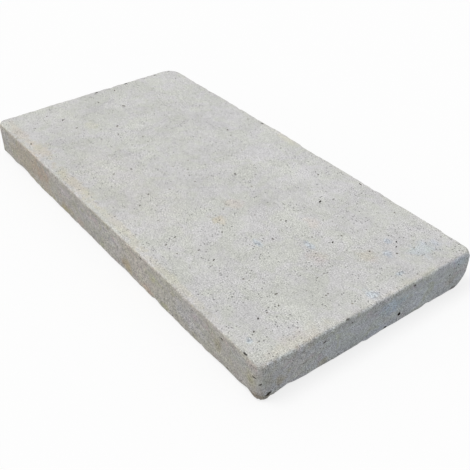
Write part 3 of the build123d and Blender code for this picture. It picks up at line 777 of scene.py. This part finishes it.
def ratio(seen):
    # how much of each colour a stain leaves of the plain stone
    plain = colour(*tone["stone"])
    return (*[part / whole for part, whole in zip(colour(*seen)[:3], plain)], 1)


def sideMasks(tree, place):
    # a mask for each of the four sides, and one for all of them
    edges = {"near": ("Y", -halfWide), "right": ("X", halfLong), "far": ("Y", halfWide),
             "left": ("X", -halfLong)}
    axes = addNode(tree, "ShaderNodeSeparateXYZ")
    wire(tree, (place, axes.inputs[0]))
    masks, total = {}, 0.0
    for side, insets in tone["sideInsets"].items():
        axis, edge = edges[side]
        start, full = ((edge - math.copysign(inset, edge)) * mm for inset in insets)
        masks[side] = ranged(tree, axes.outputs[axis], start, full)
        total = calculate(tree, "ADD", total, masks[side])
    masks["all"] = calculate(tree, "MINIMUM", total, 1.0)
    return masks


def groundColour(tree, place, blotch, masks, worn):
    # broad tints, then the tints of the sides, the painted light cast of the near side and right end, and
    # the paler worn arrises
    tint = noiseOf(tree, flattened(tree, place, tone["tintFlat"]), *tone["tint"])
    tint = ranged(tree, tint, *tone["tintRange"])
    shade = mixColours(tree, tint, colour(*tone["green"]), colour(*tone["mauve"]))
    olive = calculate(tree, "MULTIPLY", masks["all"], ranged(tree, blotch, *tone["oliveRange"]))
    rose = calculate(tree, "MULTIPLY", masks["all"], ranged(tree, blotch, *tone["roseRange"]))
    paler = calculate(tree, "MULTIPLY", worn, tone["wornShare"])
    for mask, name in ((olive, "sideOlive"), (rose, "sideRose"), (masks["near"], "nearSideLightCast"),
                       (masks["right"], "rightEndLightCast"), (paler, "worn")):
        shade = mixColours(tree, mask, shade, ratio(tone[name]), "MULTIPLY")
    return shade


def placeSpot(tree, spot, place, ragged, centre, reach):
    node = placeGroup(tree, spot, Centre=[c * mm for c in centre], Reach=[r * mm for r in reach])
    wire(tree, (place, node.inputs["Place"]), (ragged, node.inputs["Ragged"]))
    return node.outputs["Mask"]


def clusterMask(tree, spot, place, ragged, clusters):
    mask = 0.0
    for centre, reach in clusters:
        mask = calculate(tree, "MAXIMUM", mask, placeSpot(tree, spot, place, ragged, centre, reach))
    return mask


def crystalColour(tree, place):
    # bluish facets, light and dark
    facet = addNode(tree, "ShaderNodeTexVoronoi", {"Scale": tone["facetCells"]})
    pick = addNode(tree, "ShaderNodeSeparateColor")
    wire(tree, (place, facet.inputs["Vector"]), (facet.outputs["Color"], pick.inputs[0]))
    light = ranged(tree, pick.outputs[0], *tone["facetRange"])
    return mixColours(tree, light, colour(*tone["crystalDark"]), colour(*tone["crystalLight"]))


def stoneGroup():
    # the stone's colour, roughness and relief at a place, a little paler where it is worn, with painted
    # light on the near side and right end and painted shade in some stains and in the specks
    tree, given, result = makeGroup("travertineTone", {"Place": "Vector", "Worn": "Float"},
                                    {"Color": "Color", "Roughness": "Float", "Height": "Float"})
    place = given["Place"]
    spot, dots = spotGroup(), speckGroup()
    beds = flattened(tree, place, tone["bedFlat"])
    layers = {name: noiseOf(tree, place, *settings) for name, settings in tone["layers"].items()}
    layers.update({name: noiseOf(tree, beds, *settings) for name, settings in tone["beddedLayers"].items()})
    masks = sideMasks(tree, place)
    shade = groundColour(tree, place, layers["blotch"], masks, given["Worn"])

    # stains and painted shade, clusters of bluish crystals and clusters of fine pits painted dark with shade
    ragged = weighed(tree, 0.0, layers, tone["spotRagged"])
    for centre, reach, seen, amount in stainsAndShade:
        mask = calculate(tree, "MULTIPLY", placeSpot(tree, spot, place, ragged, centre, reach), amount)
        shade = mixColours(tree, mask, shade, ratio(seen), "MULTIPLY")
    glassy = clusterMask(tree, spot, place, ragged, crystals)
    peppery = clusterMask(tree, spot, place, ragged, peppered)
    share = calculate(tree, "MULTIPLY", glassy, tone["crystalShare"])
    shade = mixColours(tree, share, shade, crystalColour(tree, place))

    # light and dark, from clouds down to single grains
    small = weighed(tree, 0.0, layers, tone["small"])
    busy = ranged(tree, layers["busy"], *tone["busyRange"])
    swing = calculate(tree, "MULTIPLY_ADD", small, busy, weighed(tree, 1.0, layers, tone["broad"]))
    coarse = calculate(tree, "MULTIPLY_ADD", masks["near"], -tone["nearCalmer"], masks["all"])
    swing = calculate(tree, "MULTIPLY_ADD", coarse, weighed(tree, 0.0, layers, tone["onSides"]), swing)
    specks = placeGroup(tree, dots, **tone["specks"])
    sparks = placeGroup(tree, dots, **tone["sparks"])
    pepper = placeGroup(tree, dots, **tone["pepper"])
    wire(tree, (beds, specks.inputs["Place"]), (place, sparks.inputs["Place"]),
         (place, pepper.inputs["Place"]))
    pitted = ranged(tree, layers["pitted"], *tone["pittedRange"])
    # specks and pepper: pits too small to cut, painted dark with their shade and dented by the bump
    shadedPits = calculate(tree, "MULTIPLY", specks.outputs["Mask"], pitted)
    peppery = calculate(tree, "MULTIPLY", peppery, tone["pepperDark"])
    shadedPits = calculate(tree, "MULTIPLY_ADD", pepper.outputs["Mask"], peppery, shadedPits)
    swing = calculate(tree, "MULTIPLY_ADD", shadedPits, -tone["speckDark"], swing)
    swing = calculate(tree, "MULTIPLY_ADD", sparks.outputs["Mask"], tone["sparkLight"], swing)
    lit = addNode(tree, "ShaderNodeVectorMath", operation="SCALE")
    wire(tree, (shade, lit.inputs[0]), (swing, lit.inputs["Scale"]), (lit.outputs[0], result["Color"]))

    dull = weighed(tree, tone["roughness"], layers, tone["dullness"])
    dull = calculate(tree, "MULTIPLY_ADD", glassy, -tone["crystalGloss"], dull)
    height = weighed(tree, 0.0, layers, tone["bumps"])
    deeper = ranged(tree, masks["all"], 0.0, 1.0, 1.0, tone["sideRelief"])
    height = calculate(tree, "MULTIPLY", height, deeper)
    height = calculate(tree, "MULTIPLY_ADD", shadedPits, -tone["pitDepth"], height)
    wire(tree, (dull, result["Roughness"]), (height, result["Height"]))
    return tree


def makeFinish(name, group, inHoles=False):
    material = bpy.data.materials.new(name)
    material.use_nodes = True
    tree = material.node_tree
    shader = tree.nodes["Principled BSDF"]
    seat = addNode(tree, "ShaderNodeTexCoord")
    worn = addNode(tree, "ShaderNodeAttribute", attribute_name="wornEdge")
    look = placeGroup(tree, group)
    bump = addNode(tree, "ShaderNodeBump", {"Distance": tone["relief"] * mm})
    shade = look.outputs["Color"]
    if inHoles:
        # inside pores: the lining colour, darkened towards black by painted shade
        paintedShade = addNode(tree, "ShaderNodeAttribute", attribute_name="holeDark")
        liningAndShade = mixColours(tree, paintedShade.outputs["Fac"], ratio(tone["hole"]), ratio(tone["holeShadow"]))
        shade = mixColours(tree, 1.0, shade, liningAndShade, "MULTIPLY")
    wire(tree, (seat.outputs["Object"], look.inputs["Place"]), (worn.outputs["Fac"], look.inputs["Worn"]),
         (shade, shader.inputs["Base Color"]), (look.outputs["Roughness"], shader.inputs["Roughness"]),
         (look.outputs["Height"], bump.inputs["Height"]), (bump.outputs["Normal"], shader.inputs["Normal"]))
    return material


toneGroup = stoneGroup()
travertine = makeFinish("travertine", toneGroup)
shadedPoreLining = makeFinish("shadedPoreLining", toneGroup, inHoles=True)
cutPores(slab, travertine, shadedPoreLining)
print("pores cut")


def foldedFaces(work):
    # triangles that lie back to back on the same three points and close nothing
    sharers = {}
    for face in work.faces:
        sharers.setdefault(frozenset(face.verts), []).append(face)
    return [face for faces in sharers.values() if len(faces) > 1 for face in faces]


def looseFaces(work):
    # every face outside the largest joined shell
    left, shells = set(work.faces), []
    while left:
        shell = []
        queue = [left.pop()]
        while queue:
            face = queue.pop()
            shell.append(face)
            beside = {other for edge in face.edges for other in edge.link_faces} & left
            left -= beside
            queue.extend(beside)
        shells.append(shell)
    shells.sort(key=len)
    return [face for shell in shells[:-1] for face in shell]


def finishMesh(slab):
    mesh = slab.data
    work = bmesh.new()
    work.from_mesh(mesh)
    bmesh.ops.remove_doubles(work, verts=work.verts, dist=stone["weld"] * mm)
    bmesh.ops.dissolve_degenerate(work, edges=work.edges, dist=stone["weld"] * mm)
    bmesh.ops.triangulate(work, faces=work.faces)
    for strayFaces in (foldedFaces, looseFaces):
        bmesh.ops.delete(work, geom=strayFaces(work), context="FACES")
    openEdges = sum(1 for edge in work.edges if not edge.is_manifold)
    work.to_mesh(mesh)
    work.free()
    mesh.shade_smooth()
    mesh.set_sharp_from_angle(angle=math.radians(stone["sharpAngle"]))
    mesh.calc_loop_triangles()
    print("stone mesh", len(mesh.loop_triangles), "triangles,", openEdges, "open edges")


finishMesh(slab)
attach(slab, "root")
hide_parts("coping_stone")


# Studio: pale floor, soft light and the camera

studio = {
    "azimuth": 54.123, "elevation": 38.661, "roll": 0.658, "distance": 0.98614,
    "sideways": -0.021585, "downwards": -0.074062, "focalPixels": 745.5,
    "axisPixel": (222.0, 265.0), "imagePixels": 470, "sensor": 36.0, "clipStart": 0.01,
    "floorSize": 8.0, "floorDrop": 0.2, "floorSeen": 0.97, "floorWhite": 0.76, "floorLit": 0.35,
    "skyStrength": 0.6, "sunStrength": 1.25, "sunSoftness": 24.0, "sunFrom": (-0.25, -0.325, 1.0),
}


def makeCamera():
    azimuth, elevation, roll = (math.radians(studio[key]) for key in ("azimuth", "elevation", "roll"))
    back = Vector((math.sin(azimuth) * math.cos(elevation), -math.cos(azimuth) * math.cos(elevation),
                   math.sin(elevation)))
    levelRight = (-back).cross(Vector((0, 0, 1))).normalized()
    levelDown = (-back).cross(levelRight)
    right = levelRight * math.cos(roll) + levelDown * math.sin(roll)
    down = levelDown * math.cos(roll) - levelRight * math.sin(roll)
    place = back * studio["distance"] - right * studio["sideways"] - down * studio["downwards"]
    data = bpy.data.cameras.new("camera")
    camera = addObject("camera", data)
    camera.matrix_world = Matrix.Translation(place) @ Matrix((right, -down, back)).transposed().to_4x4()
    pixels = studio["imagePixels"]
    data.sensor_width = studio["sensor"]
    data.lens = studio["focalPixels"] / pixels * studio["sensor"]
    data.shift_x = (pixels / 2 - studio["axisPixel"][0]) / pixels
    data.shift_y = (studio["axisPixel"][1] - pixels / 2) / pixels
    data.clip_start = studio["clipStart"]
    bpy.context.scene.camera = camera


def seenBy(tree, *rays):
    # 1 for the named kinds of ray, 0 for the rest
    path = addNode(tree, "ShaderNodeLightPath")
    seen = 0.0
    for ray in rays:
        seen = calculate(tree, "MAXIMUM", seen, path.outputs[ray])
    return seen


def makeFloor():
    # white paper: the camera sees it near white with a faint shadow, and it lights the stone's sides less
    size, drop = studio["floorSize"] / 2, -studio["floorDrop"] * mm
    mesh = bpy.data.meshes.new("floor")
    mesh.from_pydata([(-size, -size, drop), (size, -size, drop), (size, size, drop), (-size, size, drop)],
                     [], [(0, 1, 2, 3)])
    floor = addObject("floor", mesh)
    material = bpy.data.materials.new("floorPaper")
    material.use_nodes = True
    tree = material.node_tree
    tree.nodes.clear()
    paper = addNode(tree, "ShaderNodeBsdfDiffuse", {"Color": (*[studio["floorSeen"]] * 3, 1)})
    white = addNode(tree, "ShaderNodeEmission")
    seen = addNode(tree, "ShaderNodeMixShader", {"Fac": studio["floorWhite"]})
    lit = addNode(tree, "ShaderNodeBsdfDiffuse", {"Color": (*[studio["floorLit"]] * 3, 1)})
    mix = addNode(tree, "ShaderNodeMixShader")
    out = addNode(tree, "ShaderNodeOutputMaterial")
    wire(tree, (paper.outputs[0], seen.inputs[1]), (white.outputs[0], seen.inputs[2]),
         (seenBy(tree, "Is Camera Ray", "Is Glossy Ray"), mix.inputs["Fac"]),
         (lit.outputs[0], mix.inputs[1]), (seen.outputs[0], mix.inputs[2]),
         (mix.outputs[0], out.inputs["Surface"]))
    mesh.materials.append(material)


def makeLight():
    world = bpy.data.worlds.new("studio")
    bpy.context.scene.world = world
    world.use_nodes = True
    tree = world.node_tree
    tree.nodes.clear()
    white = addNode(tree, "ShaderNodeBackground", {"Color": (1, 1, 1, 1), "Strength": 1})
    sky = addNode(tree, "ShaderNodeBackground", {"Color": (1, 1, 1, 1), "Strength": studio["skyStrength"]})
    seen = seenBy(tree, "Is Camera Ray", "Is Glossy Ray", "Is Transmission Ray")
    mix = addNode(tree, "ShaderNodeMixShader")
    out = addNode(tree, "ShaderNodeOutputWorld")
    wire(tree, (seen, mix.inputs["Fac"]), (sky.outputs[0], mix.inputs[1]),
         (white.outputs[0], mix.inputs[2]), (mix.outputs[0], out.inputs["Surface"]))
    lamp = bpy.data.lights.new("softSun", "SUN")
    lamp.energy = studio["sunStrength"]
    lamp.angle = math.radians(studio["sunSoftness"])
    sun = addObject("softSun", lamp)
    sun.rotation_euler = Vector(studio["sunFrom"]).to_track_quat("Z", "Y").to_euler()
    bpy.context.scene.view_settings.view_transform = "Standard"


makeFloor()
makeLight()
makeCamera()
print("studio ready")
